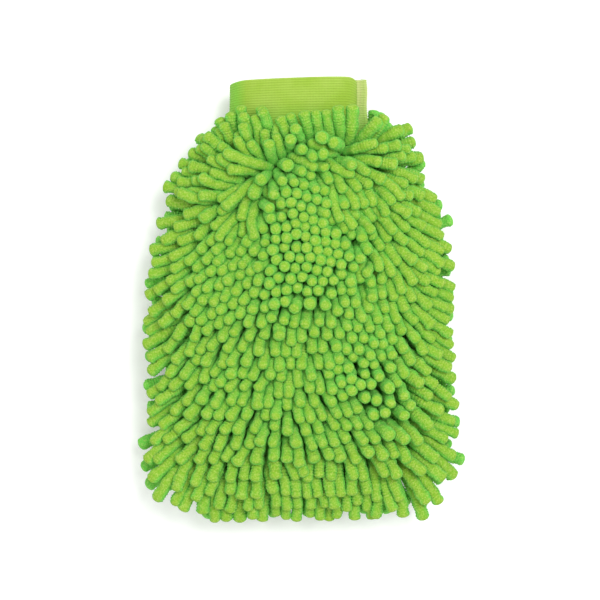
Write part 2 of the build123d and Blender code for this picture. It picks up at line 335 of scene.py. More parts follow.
def combed_shape(roots, normals, side, length):
    """Direction of every segment: off the cloth along its normal, then bent to the comb."""
    field = comb_field if side > 0 else outward_field
    heading, lean = field(roots)
    reach = 0.45 * length * np.sin(lean)
    shifted = roots[:, :2] + reach[:, None] * np.stack([np.cos(heading), np.sin(heading)], -1)
    heading, lean = field(shifted)
    heading = heading + rng.normal(0, HEADING_SCATTER, len(roots))
    lean = np.clip(lean + rng.normal(0, LEAN_SCATTER, len(roots)), 0.0, 1.45)
    share = np.linspace(0, 1, NODES - 1)[None, :]
    bend = np.clip(lean[:, None] * (0.30 + 1.25 * share), 0, FLATTEST_BEND)
    lying = np.clip((lean - 0.85) / 0.30, 0, 1)[:, None]
    rise = 0.36 * rng.random((len(roots), 1))
    over = 1.12 * lean[:, None] * np.clip((share - rise + 0.06) / 0.32, 0, 1) ** 1.2
    bend = (1 - lying) * bend + lying * np.clip(over, 0, 1.52)
    if side > 0:
        heading[-len(STRAYS):] = np.radians(STRAYS[:, 2])
        bend[-len(STRAYS):] = 1.5 * np.clip((share - 0.05) / 0.42, 0, 1) ** 1.5
    curl = rng.normal(0, CURL_SCATTER, (len(roots), 1)) * (share - 0.4)
    along = np.sin(bend)
    up = side * np.cos(bend)
    lay = np.stack(
        [along * np.cos(heading[:, None] + curl), along * np.sin(heading[:, None] + curl), up], -1
    )
    lay[:, :, 2] -= side * 0.42 * edge_share(roots)[:, None] * share * np.sin(lean)[:, None]
    start = np.clip(1 - 2.2 * share, 0, 1)[:, :, None] * 0.7
    direction = (1 - start) * lay + start * normals[:, None, :]
    return direction / np.linalg.norm(direction, axis=-1, keepdims=True)


def near_pairs(points, tuft, reach):
    """Every pair of nodes of different tufts that lie within reach of each other."""
    tree = kdtree.KDTree(len(points))
    for i, point in enumerate(points):
        tree.insert(point, i)
    tree.balance()
    first, second = [], []
    for i, point in enumerate(points):
        for _, j, _ in tree.find_range(point, reach):
            if j > i and tuft[i] != tuft[j]:
                first.append(i)
                second.append(j)
    return np.array(first), np.array(second)


def push_apart(points, pairs, weight):
    """Move overlapping nodes apart, each by the mean of its corrections."""
    a, b = pairs
    gap = points[a] - points[b]
    distance = np.linalg.norm(gap, axis=1) + 1e-9
    deep = np.clip(TOUCHING - distance, 0, None)
    hit = deep > 0
    a, b, deep = a[hit], b[hit], deep[hit]
    step = gap[hit] * (deep / distance[hit])[:, None] / (weight[a] + weight[b] + 1e-9)[:, None]
    total = np.zeros_like(points)
    for axis in range(3):
        total[:, axis] += np.bincount(a, step[:, axis] * weight[a], len(points))
        total[:, axis] -= np.bincount(b, step[:, axis] * weight[b], len(points))
    count = np.bincount(a, minlength=len(points)) + np.bincount(b, minlength=len(points))
    return points + PUSH * total / np.maximum(count, 1)[:, None]


def keep_outside(points, side):
    """Keep nodes off the cloth that they stand on and above the surface under the mitt."""
    x, y = points[..., 0], points[..., 1]
    inside = (np.abs(x) < half_width(y)) & (y > BOTTOM_Y) & (y < NECK_Y)
    clearance = cloth_height(x, y) + CLEARANCE
    height = side * (points[..., 2] - SEAM_Z)
    points[..., 2] = np.where(
        inside & (height < clearance), SEAM_Z + side * clearance, points[..., 2]
    )
    over_cuff = (np.abs(x - CUFF_X) < CUFF_A) & (y >= NECK_Y)
    share = np.clip(np.abs(x - CUFF_X) / CUFF_A, 0, 1)
    clearance = CUFF_B * np.sqrt(1 - share**2) + CLEARANCE
    points[..., 2] = np.where(
        over_cuff & (height < clearance), SEAM_Z + side * clearance, points[..., 2]
    )
    points[..., 2] = np.maximum(points[..., 2], 0.95 * TUFT_RADIUS)
    return points


def combed_pile():
    """Roots, directions, lengths, stitch lines and sides of both faces' tufts."""
    faces = []
    for side, length in ((1, TUFT_LENGTH), (-1, TUFT_LENGTH - BACK_SHORTER)):
        roots, normals, lines = tuft_roots(side)
        lengths = tuft_lengths(roots, side, length)
        directions = combed_shape(roots, normals, side, lengths)
        faces.append((roots, directions, lengths, lines, np.full(len(roots), side)))
    return [np.concatenate(columns) for columns in zip(*faces)]


def relaxed_pile():
    """Centre lines of all tufts, combed, pushed apart and settled, with side and stitch line."""
    roots, directions, lengths, lines, sides = combed_pile()
    stride = (lengths / (NODES - 1))[:, None, None]
    paths = roots[:, None, :] + np.concatenate(
        [np.zeros((len(roots), 1, 3)), np.cumsum(directions * stride, axis=1)], axis=1
    )
    count = len(roots)
    tuft = np.repeat(np.arange(count), NODES)
    weight = np.tile(np.r_[0.0, 0.25, np.ones(NODES - 2)], count)
    side = sides[:, None] * np.ones((1, NODES))
    for step in range(STEPS):
        if step % 5 == 0:
            pairs = near_pairs(paths.reshape(-1, 3), tuft, TOUCHING + 1.6)
        pull = COMB_PULL if step < STEPS * 0.7 else LAST_PULL
        for k in range(1, NODES):
            goal = paths[:, k - 1] + directions[:, k - 1] * stride[:, 0]
            paths[:, k] += pull * (goal - paths[:, k])
        flat = push_apart(paths.reshape(-1, 3), pairs, weight)
        paths = keep_outside(flat.reshape(count, NODES, 3), side)
        paths[:, 0] = roots
        for k in range(1, NODES):
            gap = paths[:, k] - paths[:, k - 1]
            size = np.linalg.norm(gap, axis=1, keepdims=True)
            paths[:, k] = paths[:, k - 1] + gap / size * stride[:, 0]
        smooth = 0.5 * (paths[:, 2:] + paths[:, :-2])
        paths[:, 1:-1] += EVENING * (smooth - paths[:, 1:-1])
    return paths, lengths, lines, sides


def room(paths):
    """Radius that each node's pile swells to, given how near its neighbours press."""
    points = paths.reshape(-1, 3)
    tuft = np.repeat(np.arange(len(paths)), NODES)
    farthest, blend = 9.0, 0.9
    a, b = near_pairs(points, tuft, farthest)
    gap = np.linalg.norm(points[a] - points[b], axis=1)
    nearness = np.exp(-gap / blend)
    total = np.bincount(a, nearness, len(points)) + np.bincount(b, nearness, len(points))
    nearest = -blend * np.log(np.maximum(total, math.exp(-farthest / blend)))
    radius = np.clip(0.5 * nearest + 0.75, 0.90 * TUFT_RADIUS, 1.09 * TUFT_RADIUS)
    radius = radius.reshape(len(paths), NODES)
    radius[:, 1:-1] = 0.25 * radius[:, :-2] + 0.5 * radius[:, 1:-1] + 0.25 * radius[:, 2:]
    return radius


def burial(paths, sides):
    """How deep each node lies, from 0 at the pile's surface to 1, and which way is out there."""
    points = paths.reshape(-1, 3)
    tuft = np.repeat(np.arange(len(paths)), NODES)
    a, b = near_pairs(points, tuft, 11.0)
    side = np.repeat(sides, NODES)
    # Straight up over the middle of a panel, sideways in the fringe round it
    outward = np.stack([points[:, 0] - np.clip(points[:, 0], -62, 62),
                        points[:, 1] - np.clip(points[:, 1], -98, 90), 34.0 * side], -1)
    outward /= np.linalg.norm(outward, axis=1, keepdims=True)
    gap = points[b] - points[a]
    gap /= np.linalg.norm(gap, axis=1, keepdims=True) + 1e-9
    over_a = np.clip((gap * outward[a]).sum(1) - 0.2, 0, 1)
    over_b = np.clip((-gap * outward[b]).sum(1) - 0.2, 0, 1)
    total = np.bincount(a, over_a, len(points)) + np.bincount(b, over_b, len(points))
    return np.clip(total / 6.5, 0, 1).reshape(len(paths), NODES), outward.reshape(paths.shape)


# Meshes of the tufts: a ring of AROUND points at each station, and a domed tip
AROUND = 14
STATION_GAP = 0.44
TIP_STATIONS = 6
DOME = 2.6
RING_PITCH = 1.7
ROUGHNESS = 0.028


def circle(count):
    """Angles evenly spaced round a circle."""
    return np.linspace(0, 2 * math.pi, count, endpoint=False)


def spline_points(paths, share):
    """Points on smooth curves through each path's nodes, at shares 0 to 1 of its length."""
    padded = np.concatenate(
        [2 * paths[:, :1] - paths[:, 1:2], paths, 2 * paths[:, -1:] - paths[:, -2:-1]], axis=1
    )
    at = np.clip(share * (NODES - 1), 0, NODES - 1 - 1e-6)
    first = at.astype(int)
    t = (at - first)[None, :, None]
    p0, p1, p2, p3 = (padded[:, first + k] for k in range(4))
    return 0.5 * (
        2 * p1
        + (p2 - p0) * t
        + (2 * p0 - 5 * p1 + 4 * p2 - p3) * t**2
        + (3 * p1 - p0 - 3 * p2 + p3) * t**3
    )


def moving_frames(points):
    """Two unit cross directions along each curve, carried along it without twist."""
    tangent = np.gradient(points, axis=1)
    tangent /= np.linalg.norm(tangent, axis=2, keepdims=True)
    helper = np.where(np.abs(tangent[:, 0, 2:3]) < 0.9, [[0.0, 0.0, 1.0]], [[1.0, 0.0, 0.0]])
    across = np.cross(tangent[:, 0], helper)
    across /= np.linalg.norm(across, axis=1, keepdims=True)
    first = np.empty_like(points)
    for k in range(points.shape[1]):
        across = across - (across * tangent[:, k]).sum(1, keepdims=True) * tangent[:, k]
        across /= np.linalg.norm(across, axis=1, keepdims=True)
        first[:, k] = across
    return first, np.cross(tangent, first)


def ringed_radius(along, angle, radius, length, phase):
    """Radius of the chenille at each station and angle: plump rings, uneven pile, domed tip."""
    slanted = along + 0.25 * np.sin(angle + phase)
    ring = np.abs(np.sin(math.pi * slanted / RING_PITCH + phase)) ** 0.7
    uneven = (
        0.045 * np.sin(along * 0.75 + 2 * phase)
        + 0.035 * np.sin(angle + along * 0.9 + 3 * phase)
        + 0.03 * np.sin(2 * angle - along * 0.5 + phase)
    )
    strength = 0.11 + 0.06 * np.sin(along * 0.35 + 5 * phase)
    body = radius * (0.93 - 0.5 * strength + strength * ring + uneven)
    to_tip = np.clip((length - along) / DOME, 0, 1)
    dome = np.sqrt(np.clip(1 - (1 - to_tip) ** 2.3, 0, 1))
    root = 0.75 + 0.25 * np.clip(along / 2.0, 0, 1)
    return body * dome * root, ring, np.clip(1 - to_tip, 0, 1) ** 1.2


def turned_and_buried_shade(normal, away, buried):
    """How far each point turns from the light and how deep it lies in the pile, 0 to 1: the weights
    of its painted shade.
    """
    facing = np.clip(((normal * away).sum(-1) - 0.36) / 0.50, 0, 1)
    turned = 1 - facing * facing * (3 - 2 * facing)
    return turned, np.clip(1.15 * (buried - 0.15), 0, 1) * (0.35 + 0.65 * turned)


def tuft_mesh(name, paths, lengths, radii, depth, outward, seed):
    """One object that holds every tuft of a stitch line as its own closed tube."""
    draw = np.random.default_rng(seed)
    count = len(paths)
    stations = int(TUFT_LENGTH / STATION_GAP)
    cut = 1 - DOME / TUFT_LENGTH
    share = np.r_[
        np.linspace(0, cut, stations - TIP_STATIONS, endpoint=False),
        cut + (1 - cut) * np.sin(np.linspace(0, math.pi / 2, TIP_STATIONS + 1)) * 0.99,
    ]
    centre = spline_points(paths, share)
    u, v = moving_frames(centre)
    angle = circle(AROUND)[None, None, :]
    along = (share[None, :] * lengths[:, None])[:, :, None]
    at_nodes = np.linspace(0, 1, NODES)
    swell = np.stack([np.interp(share, at_nodes, row) for row in radii])
    radius = (swell * draw.uniform(0.95, 1.05, (count, 1)))[:, :, None]
    phase = draw.uniform(0, 2 * math.pi, count)[:, None, None]
    size, ring, tipward = ringed_radius(along, angle, radius, lengths[:, None, None], phase)
    size = size * (1 + draw.normal(0, ROUGHNESS, size.shape))
    spoke = np.cos(angle)[..., None] * u[:, :, None] + np.sin(angle)[..., None] * v[:, :, None]
    wall = centre[:, :, None] + size[..., None] * spoke
    tip = centre[:, -1] + (centre[:, -1] - centre[:, -2]) * 0.3
    root = centre[:, 0]
    verts = np.concatenate([wall.reshape(count, -1, 3), root[:, None], tip[:, None]], axis=1)
    verts[:, :, 2] = np.maximum(verts[:, :, 2], 0.0)
    mesh = mesh_from_arrays(name, verts.reshape(-1, 3), *tube_faces(count, len(share), AROUND))
    # Weights for painted light and shade: lit ends, shade on the sides that turn away, shade deep in
    # the pile and in the grooves between rings; and a random tint for each tuft
    buried = np.stack([np.interp(share, at_nodes, row) for row in depth])
    away = spline_points(outward, share)
    away /= np.linalg.norm(away, axis=2, keepdims=True)
    tangent = np.cross(u, v)
    normal = spoke * (1 - tipward[..., None] ** 2) ** 0.5 + tangent[:, :, None] * tipward[..., None]
    turned, deep = turned_and_buried_shade(normal, away[:, :, None], buried[:, :, None])
    tint = np.broadcast_to(draw.uniform(0, 1, (count, 1, 1)), turned.shape)
    groove_shade = np.broadcast_to(1 - ring, turned.shape)
    for label, values in (("turned", turned), ("deep", deep), ("tint", tint), ("groove_shade", groove_shade)):
        flat = values.reshape(count, -1)
        store(mesh, label, np.concatenate([flat, flat[:, :1], flat[:, -1:]], axis=1))
    return add_object(mesh)


NO_TRIS = np.zeros((0, 3), int)


def mesh_from_arrays(name, verts, quads, tris=NO_TRIS):
    """A smooth-shaded mesh from points in mm and arrays of four- and three-cornered faces."""
    mesh = bpy.data.meshes.new(name)
    mesh.vertices.add(len(verts))
    mesh.vertices.foreach_set("co", (verts * MM).astype(np.float32).ravel())
    corners = np.concatenate([quads.ravel(), tris.ravel()]).astype(np.int32)
    sizes = np.r_[np.full(len(quads), 4), np.full(len(tris), 3)]
    starts = np.r_[0, np.cumsum(sizes)[:-1]].astype(np.int32)
    mesh.loops.add(len(corners))
    mesh.loops.foreach_set("vertex_index", corners)
    mesh.polygons.add(len(sizes))
    mesh.polygons.foreach_set("loop_start", starts)
    mesh.polygons.foreach_set("use_smooth", np.ones(len(sizes), bool))
    mesh.update(calc_edges=True)
    mesh.validate()
    return mesh


def store(mesh, label, values):
    """Keep one number for each point of a mesh, for its material to read."""
    layer = mesh.attributes.new(label, "FLOAT", "POINT")
    layer.data.foreach_set("value", np.asarray(values, np.float32).ravel())


def add_object(mesh):
    """A new object in the scene, with its mesh's name."""
    piece = bpy.data.objects.new(mesh.name, mesh)
    bpy.context.scene.collection.objects.link(piece)
    return piece


def grid_faces(rows, columns, wrap_columns=False, wrap_rows=False):
    """Four-cornered faces of a grid of points stored row by row."""
    r = np.arange(rows if wrap_rows else rows - 1)[:, None]
    c = np.arange(columns if wrap_columns else columns - 1)[None, :]
    r2, c2 = (r + 1) % rows, (c + 1) % columns
    corners = (r * columns + c, r * columns + c2, r2 * columns + c2, r2 * columns + c)
    return np.stack(corners, -1).reshape(-1, 4)


def tube_faces(count, rows, columns):
    """Faces of closed tubes; each has its rows of points, then its first and last middle."""
    a = np.arange(columns)
    b = (a + 1) % columns
    last = (rows - 1) * columns
    start = np.stack([np.full(columns, rows * columns), b, a], -1)
    end = np.stack([np.full(columns, rows * columns + 1), last + a, last + b], -1)
    shift = (np.arange(count) * (rows * columns + 2))[:, None, None]
    quads = grid_faces(rows, columns, wrap_columns=True) + shift
    tris = np.concatenate([start, end]) + shift
    return quads.reshape(-1, 4), tris.reshape(-1, 3)


def closed_sheet_faces(rows, columns):
    """Faces of a sheet with two sides: an outer grid, an inner one after it and a rim."""
    outer = grid_faces(rows, columns)
    inner = outer[:, ::-1] + rows * columns
    rim = np.r_[
        np.arange(columns),
        np.arange(1, rows) * columns + columns - 1,
        (rows - 1) * columns + np.arange(columns - 2, -1, -1),
        np.arange(rows - 2, 0, -1) * columns,
    ]
    other = np.roll(rim, -1)
    edge = np.stack([other, rim, rim + rows * columns, other + rows * columns], -1)
    return np.concatenate([outer, inner, edge])


# Cloth, lining, seams and cuff
def panel_sheet(name, inset, side, thickness, ripple, seed):
    """One closed sheet of cloth: a panel of the pouch, inset mm inside its outer face."""
    draw = np.random.default_rng(seed)
    rows, columns = 150, 130
    v = np.linspace(0, 1, rows) ** 1.5
    hem = inset + 0.3
    y = BOTTOM_Y + hem + (NECK_Y - BOTTOM_Y - hem) * v
    angle = np.linspace(-0.475 * math.pi, 0.475 * math.pi, columns)
    sides_of_cloth = []
    bumps = draw.uniform(0, 2 * math.pi, 3)
    for depth in (inset, inset + thickness):
        x = half_width(y, depth)[:, None] * np.sin(angle)[None, :]
        z = half_height(y, depth)[:, None] * np.cos(angle)[None, :]
        yy = np.broadcast_to(y[:, None], x.shape)
        wave = ripple * (
            np.sin(x / 9 + yy / 23 + bumps[0]) * np.sin(yy / 14 + bumps[1])
            + 0.5 * np.sin(x / 4.5 - yy / 11 + bumps[2])
        )
        fade = np.cos(angle)[None, :] * np.clip((NECK_Y - yy) / 12, 0, 1)
        z = np.maximum(z + wave * fade, 1.2)
        sides_of_cloth.append(np.stack([x, yy, SEAM_Z + side * z], -1).reshape(-1, 3))
    # The back panel's faces wind the other way round
    quads = closed_sheet_faces(rows, columns)[:, ::side]
    return add_object(mesh_from_arrays(name, np.vstack(sides_of_cloth), quads))


def cuff_top_dip(x):
    """How far the wrist edge sags: steadily towards the left, and more at both corners."""
    slope = 0.038 * np.clip(CUFF_X + 0.8 * CUFF_A - x, 0, None)
    left = np.clip((CUFF_X - 0.75 * CUFF_A - x) / (0.25 * CUFF_A), 0, 1)
    right = np.clip((x - CUFF_X - 0.86 * CUFF_A) / (0.14 * CUFF_A), 0, 1)
    return slope + 1.5 * left**1.5 + 2.2 * right**2


def cuff_point(angle, y, inset):
    """A point of the cuff's surface, inset mm inside its outer face."""
    x = CUFF_X + (CUFF_A - inset) * np.cos(angle)
    z = SEAM_Z + (CUFF_B - inset) * np.sin(angle)
    share = np.clip((y - CUFF_LOW[1]) / (CUFF_HIGH[1] - CUFF_LOW[1]), 0, 1)
    return np.stack([x, y - cuff_top_dip(x) * share, z], -1)


def rib_height(along):
    """From 0 in a groove to 1 on a rib, along being measured from the cuff's foot."""
    return np.abs(np.sin(math.pi * along / RIB_PITCH)) ** 0.8


def foot_shade(y):
    """How far the knit is in the shade of the pile that stands round the cuff's foot."""
    return 0.8 * np.clip((SHADED_BELOW_Y - y) / 16, 0, 1)


def cuff_mesh():
    """The doubled rib knit: ribs up the outside, over the fold and down the inside."""
    around = 180
    steps_per_rib = 6
    ribs = int((CUFF_HIGH[1] - CUFF_LOW[1] - CUFF_WALL / 2) / RIB_PITCH)
    along = np.arange(ribs * steps_per_rib + 1) / steps_per_rib * RIB_PITCH
    groove = 1 - rib_height(along)
    y_side = CUFF_LOW[1] + along
    # Each point of the profile: y, inset from the outer face and depth in its groove
    outer = [(y, RIB_DEPTH * g, g) for y, g in zip(y_side, groove)]
    fold = []
    for t in np.linspace(0, math.pi, 11)[1:-1]:
        y = y_side[-1] + CUFF_WALL / 2 * math.sin(t)
        fold.append((y, CUFF_WALL / 2 * (1 - math.cos(t)), 0.0))
    inner = [(y, CUFF_WALL - inset, g) for y, inset, g in outer[::-1]]
    profile = np.array(outer + fold + inner)
    angle = circle(around)
    grid_angle = np.broadcast_to(angle[None, :], (len(profile), around))
    y = np.broadcast_to(profile[:, :1], grid_angle.shape)
    inset = np.broadcast_to(profile[:, 1:2], grid_angle.shape)
    wobble = 0.35 * np.sin(3 * grid_angle + 0.4) * np.sin(y / 13)
    wobble = wobble + 0.2 * np.sin(5 * grid_angle + y / 7)
    points = cuff_point(grid_angle, y, inset + wobble)
    quads = grid_faces(len(profile), around, wrap_columns=True, wrap_rows=True)
    mesh = mesh_from_arrays("rib_knit_cuff_looks", points.reshape(-1, 3), quads[:, ::-1])
    # Painted shade on the cuff's left edge, which turns away, and at its foot under the pile; and
    # painted shade in the rib grooves
    bent = np.clip((-np.cos(grid_angle) - 0.72) / 0.16, 0, 1)
    store(mesh, "turned", np.maximum(bent, foot_shade(y)))
    store(mesh, "groove_shade", np.broadcast_to(profile[:, 2:], grid_angle.shape))
    return add_object(mesh)


def tube_along(points, radius, around=8, closed=True):
    """Vertices and faces of a round thread along a chain of points."""
    beyond = points[0] if closed else 2 * points[-1] - points[-2]
    tangent = np.vstack([points[1:], beyond]) - points
    tangent /= np.linalg.norm(tangent, axis=1, keepdims=True)
    helper = np.where(np.abs(tangent[:, 1:2]) < 0.9, [[0.0, 1.0, 0.0]], [[1.0, 0.0, 0.0]])
    u = np.cross(tangent, helper)
    u /= np.linalg.norm(u, axis=1, keepdims=True)
    v = np.cross(tangent, u)
    angle = circle(around)
    ring = np.cos(angle)[None, :, None] * u[:, None] + np.sin(angle)[None, :, None] * v[:, None]
    verts = (points[:, None] + radius * ring).reshape(-1, 3)
    if closed:
        return verts, grid_faces(len(points), around, wrap_columns=True, wrap_rows=True), NO_TRIS
    return np.vstack([verts, points[0], points[-1]]), *tube_faces(1, len(points), around)


def joined_tubes(name, tubes):
    """One object from several threads."""
    verts, quads, tris, start = [], [], [], 0
    for v, q, t in tubes:
        verts.append(v)
        quads.append(q + start)
        tris.append(t + start)
        start += len(v)
    return add_object(mesh_from_arrays(name, *map(np.vstack, (verts, quads, tris))))


def elastic_rings():
    """The rubber threads that run round inside the doubled cuff."""
    angle = circle(120)
    rings = []
    for y in np.arange(CUFF_LOW[1] + 2.0, CUFF_HIGH[1] - 3.0, 2 * RIB_PITCH):
        path = cuff_point(angle, np.full(angle.shape, y), CUFF_WALL / 2)
        rings.append(tube_along(path, 0.4))
    return joined_tubes("elastic_threads_looks", rings)


def flange_surface(u, v, side):
    """The flat side seam: u across from the cuff, v along it, ribbed like the knit."""
    y_low = FLANGE_LOW[1] - SEAM_UNDER_PILE
    x = FLANGE_LOW[0] - 0.9 + (FLANGE_HIGH[0] - FLANGE_LOW[0] + 0.2 - 0.9 * v) * u
    y = y_low + (FLANGE_HIGH[1] - y_low) * v
    column = np.abs(np.sin(math.pi * u * 3)) ** 0.5
    half = 0.55 + 0.28 * rib_height(y - CUFF_LOW[1]) + 0.30 * column
    z = SEAM_Z + side * half + 0.5 * np.sin(y / 9)
    return np.stack([x + 0.25 * np.sin(y / 3.1), y, z], -1)


def flange_mesh():
    """The side seam's strip of cloth, closed all round."""
    rows, columns = 180, 28
    v, u = np.meshgrid(np.linspace(0, 1, rows), np.linspace(0, 1, columns), indexing="ij")
    top, under = flange_surface(u, v, 1), flange_surface(u, v, -1)
    points = np.concatenate([top.reshape(-1, 3), under.reshape(-1, 3)])
    faces = closed_sheet_faces(rows, columns)
    mesh = mesh_from_arrays("cuff_side_seam_looks", points, faces)
    # Painted shade at the seam's foot under the pile, and in the grooves between its ribs
    store(mesh, "turned", foot_shade(points[:, 1]))
    store(mesh, "groove_shade", 1 - rib_height(points[:, 1] - CUFF_LOW[1]))
    return add_object(mesh)


def flange_overlock():
    """Overlock thread wrapped round the side seam's free edge."""
    threads = []
    for v in np.linspace(0.06, 0.98, 32):
        right, y, _ = flange_surface(1.0, v, 1)
        x = right + np.array([-3.4, -1.6, -0.2, 0.25, -0.2, -1.6, -3.4])
        z = np.array([1.05, 1.15, 0.95, 0.0, -0.95, -1.15, -1.05])
        lean = np.array([0.0, 0.25, 0.5, 0.75, 1.0, 1.2, 1.5])
        z = SEAM_Z + z + 0.5 * math.sin(y / 9)
        threads.append(tube_along(np.stack([x, y + lean, z], -1), 0.16, 6, closed=False))
    return joined_tubes("cuff_overlock_thread", threads)


def neck_binding():
    """The taped ring where the neck of the pouch is gathered on to the cuff."""
    around, section, gathers = 220, 18, 46
    angle = circle(around)[:, None]
    turn = circle(section)[None, :]
    gather = 0.35 * np.sin(gathers * angle)
    middle_y = (NECK_LOW[1] + NECK_HIGH[1]) / 2
    share = 0.5 + 0.5 * np.cos(turn)
    a = CUFF_A + 0.3 + share * (NECK_HALF_WIDTH - CUFF_A - 3.2) + 0.4 * gather * share
    b = CUFF_B + 0.3 + share * (NECK_RISE - CUFF_B - 0.6) + gather * share
    x = CUFF_X * (1 - share) + a * np.cos(angle)
    z = SEAM_Z + b * np.sin(angle)
    y = middle_y + 1.7 * np.sin(turn) + 0 * angle
    points = np.stack([x, y, z], -1).reshape(-1, 3)
    quads = grid_faces(around, section, wrap_columns=True, wrap_rows=True)
    return add_object(mesh_from_arrays("neck_seam_looks", points, quads))


def outline_points(count, inset):
    """Points round the pouch's seam line, from the neck round the fingertips and back."""
    y_low = BOTTOM_Y + inset
    y = y_low + (SEAM_END_Y - y_low) * np.linspace(1, 0, count // 2) ** 1.4
    x = half_width(y, inset)
    right = np.stack([x, y, np.full_like(x, SEAM_Z)], -1)
    left = right[::-1] * (-1, 1, 1)
    bottom_x = np.linspace(x[-1], -x[-1], 30)[1:-1]
    bottom = np.stack([bottom_x, np.full_like(bottom_x, y[-1]), np.full_like(bottom_x, SEAM_Z)], -1)
    return np.vstack([right, bottom, left])


def body_seam_mesh():
    """The overlocked allowance between the panels, a flat ribbed band with a rounded edge."""
    outer, inner = outline_points(220, 0.4), outline_points(220, 5.6)
    rows, section = len(outer), 12
    turn = circle(section)[None, :]
    share = (0.5 + 0.5 * np.cos(turn))[..., None]
    row = np.arange(rows)[:, None]
    half = 0.72 + 0.22 * np.sin(row * 1.9)
    points = outer[:, None] * share + inner[:, None] * (1 - share)
    points[..., 2] = SEAM_Z + half * np.sin(turn)
    verts = np.vstack([points.reshape(-1, 3), points[0].mean(0), points[-1].mean(0)])
    return add_object(mesh_from_arrays("body_seam_looks", verts, *tube_faces(1, rows, section)))


# Materials
def new_material(name):
    """A material, its node tree and its main shader."""
    material = bpy.data.materials.new(name)
    material.use_nodes = True
    shader = material.node_tree.nodes["Principled BSDF"]
    return material, material.node_tree, shader


def link(tree, source, target):
    """Connect an output socket to an input socket."""
    tree.links.new(source, target)


def set_inputs(node, values):
    """Give plain values to a node's own sockets."""
    for name, value in values.items():
        node.inputs[name].default_value = value


def noise(tree, scale, detail=3.0, roughness=0.6):
    """A noise texture in object space, scale per metre."""
    place = tree.nodes.new("ShaderNodeTexCoord")
    node = tree.nodes.new("ShaderNodeTexNoise")
    set_inputs(node, {"Scale": scale, "Detail": detail, "Roughness": roughness})
    link(tree, place.outputs["Object"], node.inputs["Vector"])
    return node.outputs["Fac"]


def attribute(tree, label):
    """A number stored on the mesh's points."""
    node = tree.nodes.new("ShaderNodeAttribute")
    node.attribute_name = label
    return node.outputs["Fac"]


def math_node(tree, operation, a, b):
    """One arithmetic node; a and b are sockets or numbers."""
    node = tree.nodes.new("ShaderNodeMath")
    node.operation = operation
    for socket, value in zip(node.inputs, (a, b)):
        if isinstance(value, (int, float)):
            socket.default_value = value
        else:
            link(tree, value, socket)
    return node.outputs[0]


def contrast(tree, source, low, high, top):
    """A value stretched so that low gives 0 and high gives the top."""
    node = tree.nodes.new("ShaderNodeMapRange")
    link(tree, source, node.inputs["Value"])
    set_inputs(node, {"From Min": low, "From Max": high, "To Max": top})
    return node.outputs[0]


def colour_mix(tree, factor, first, second, blend="MIX"):
    """A colour mix; first and second are sockets or RGB triples."""
    node = tree.nodes.new("ShaderNodeMix")
    node.data_type = "RGBA"
    node.blend_type = blend
    for name, value in (("Factor_Float", factor), ("A_Color", first), ("B_Color", second)):
        socket = next(s for s in node.inputs if s.identifier == name)
        if isinstance(value, (int, float)):
            socket.default_value = value
        elif isinstance(value, tuple):
            socket.default_value = (*value, 1.0)
        else:
            link(tree, value, socket)
    return next(s for s in node.outputs if s.identifier == "Result_Color")


def bump(tree, shader, height, distance, strength):
    """Fine relief under the shader, distance in metres."""
    node = tree.nodes.new("ShaderNodeBump")
    set_inputs(node, {"Distance": distance, "Strength": strength})
    link(tree, height, node.inputs["Height"])
    link(tree, node.outputs["Normal"], shader.inputs["Normal"])


# Linear colours: painted lit tuft ends, their sides in painted shade, painted shade deep in the pile,
# painted shade in the grooves between rings (also dark specks), fibre ends, knit in shade
LIT_GREEN = (0.223, 0.388, 0.027)
WARM_LIT_GREEN = (0.258, 0.400, 0.027)
SHADED_SIDE_GREEN = (0.122, 0.52, 0.066)
BURIED_SHADE_GREEN = (0.160, 0.68, 0.108)
GROOVE_SHADE_AND_SPECK_GREEN = (0.14, 0.40, 0.02)
PALE_GREEN = (0.44, 0.58, 0.13)
KNIT_SHADE = (0.180, 0.445, 0.042)


def chenille_material():
    """Microfibre chenille with painted light and shade: lit yellow-green ends, painted shade in
    deeper green on the sides, where the pile closes in and in the grooves between rings.
    """
    material, tree, shader = new_material("chenille")
    # Painted light: the lit yellow-green of the tufts' ends, warmer on some tufts at random, with
    # random patches of the side colour
    face = colour_mix(tree, attribute(tree, "tint"), LIT_GREEN, WARM_LIT_GREEN)
    patch = math_node(tree, "MULTIPLY", noise(tree, 420.0, 2.0), 0.22)
    face = colour_mix(tree, patch, face, SHADED_SIDE_GREEN)
    # Painted shade on the sides that turn from the light
    colour = colour_mix(tree, attribute(tree, "turned"), face, SHADED_SIDE_GREEN)
    # Painted shade deep in the pile, in a greener colour
    colour = colour_mix(tree, attribute(tree, "deep"), colour, BURIED_SHADE_GREEN)
    # Painted shade in the grooves between the rings
    groove = math_node(tree, "MULTIPLY", attribute(tree, "groove_shade"), 0.30)
    colour = colour_mix(tree, groove, colour, GROOVE_SHADE_AND_SPECK_GREEN)
    fibre = noise(tree, 2600.0, 4.0, 0.7)
    loops = noise(tree, 1000.0, 1.5, 0.6)
    colour = colour_mix(tree, contrast(tree, loops, 0.47, 0.68, 0.55), colour, PALE_GREEN)
    colour = colour_mix(tree, contrast(tree, loops, 0.49, 0.30, 0.45), colour, GROOVE_SHADE_AND_SPECK_GREEN)
    link(tree, colour, shader.inputs["Base Color"])
    set_inputs(shader, {
        "Roughness": 0.92,
        "Specular IOR Level": 0.15,
        "Sheen Weight": 0.08,
        "Sheen Roughness": 0.4,
        "Sheen Tint": (0.55, 1.0, 0.45, 1.0),
    })
    relief = math_node(tree, "ADD", math_node(tree, "MULTIPLY", fibre, 0.35), loops)
    bump(tree, shader, relief, 0.0010, 0.75)
    return material


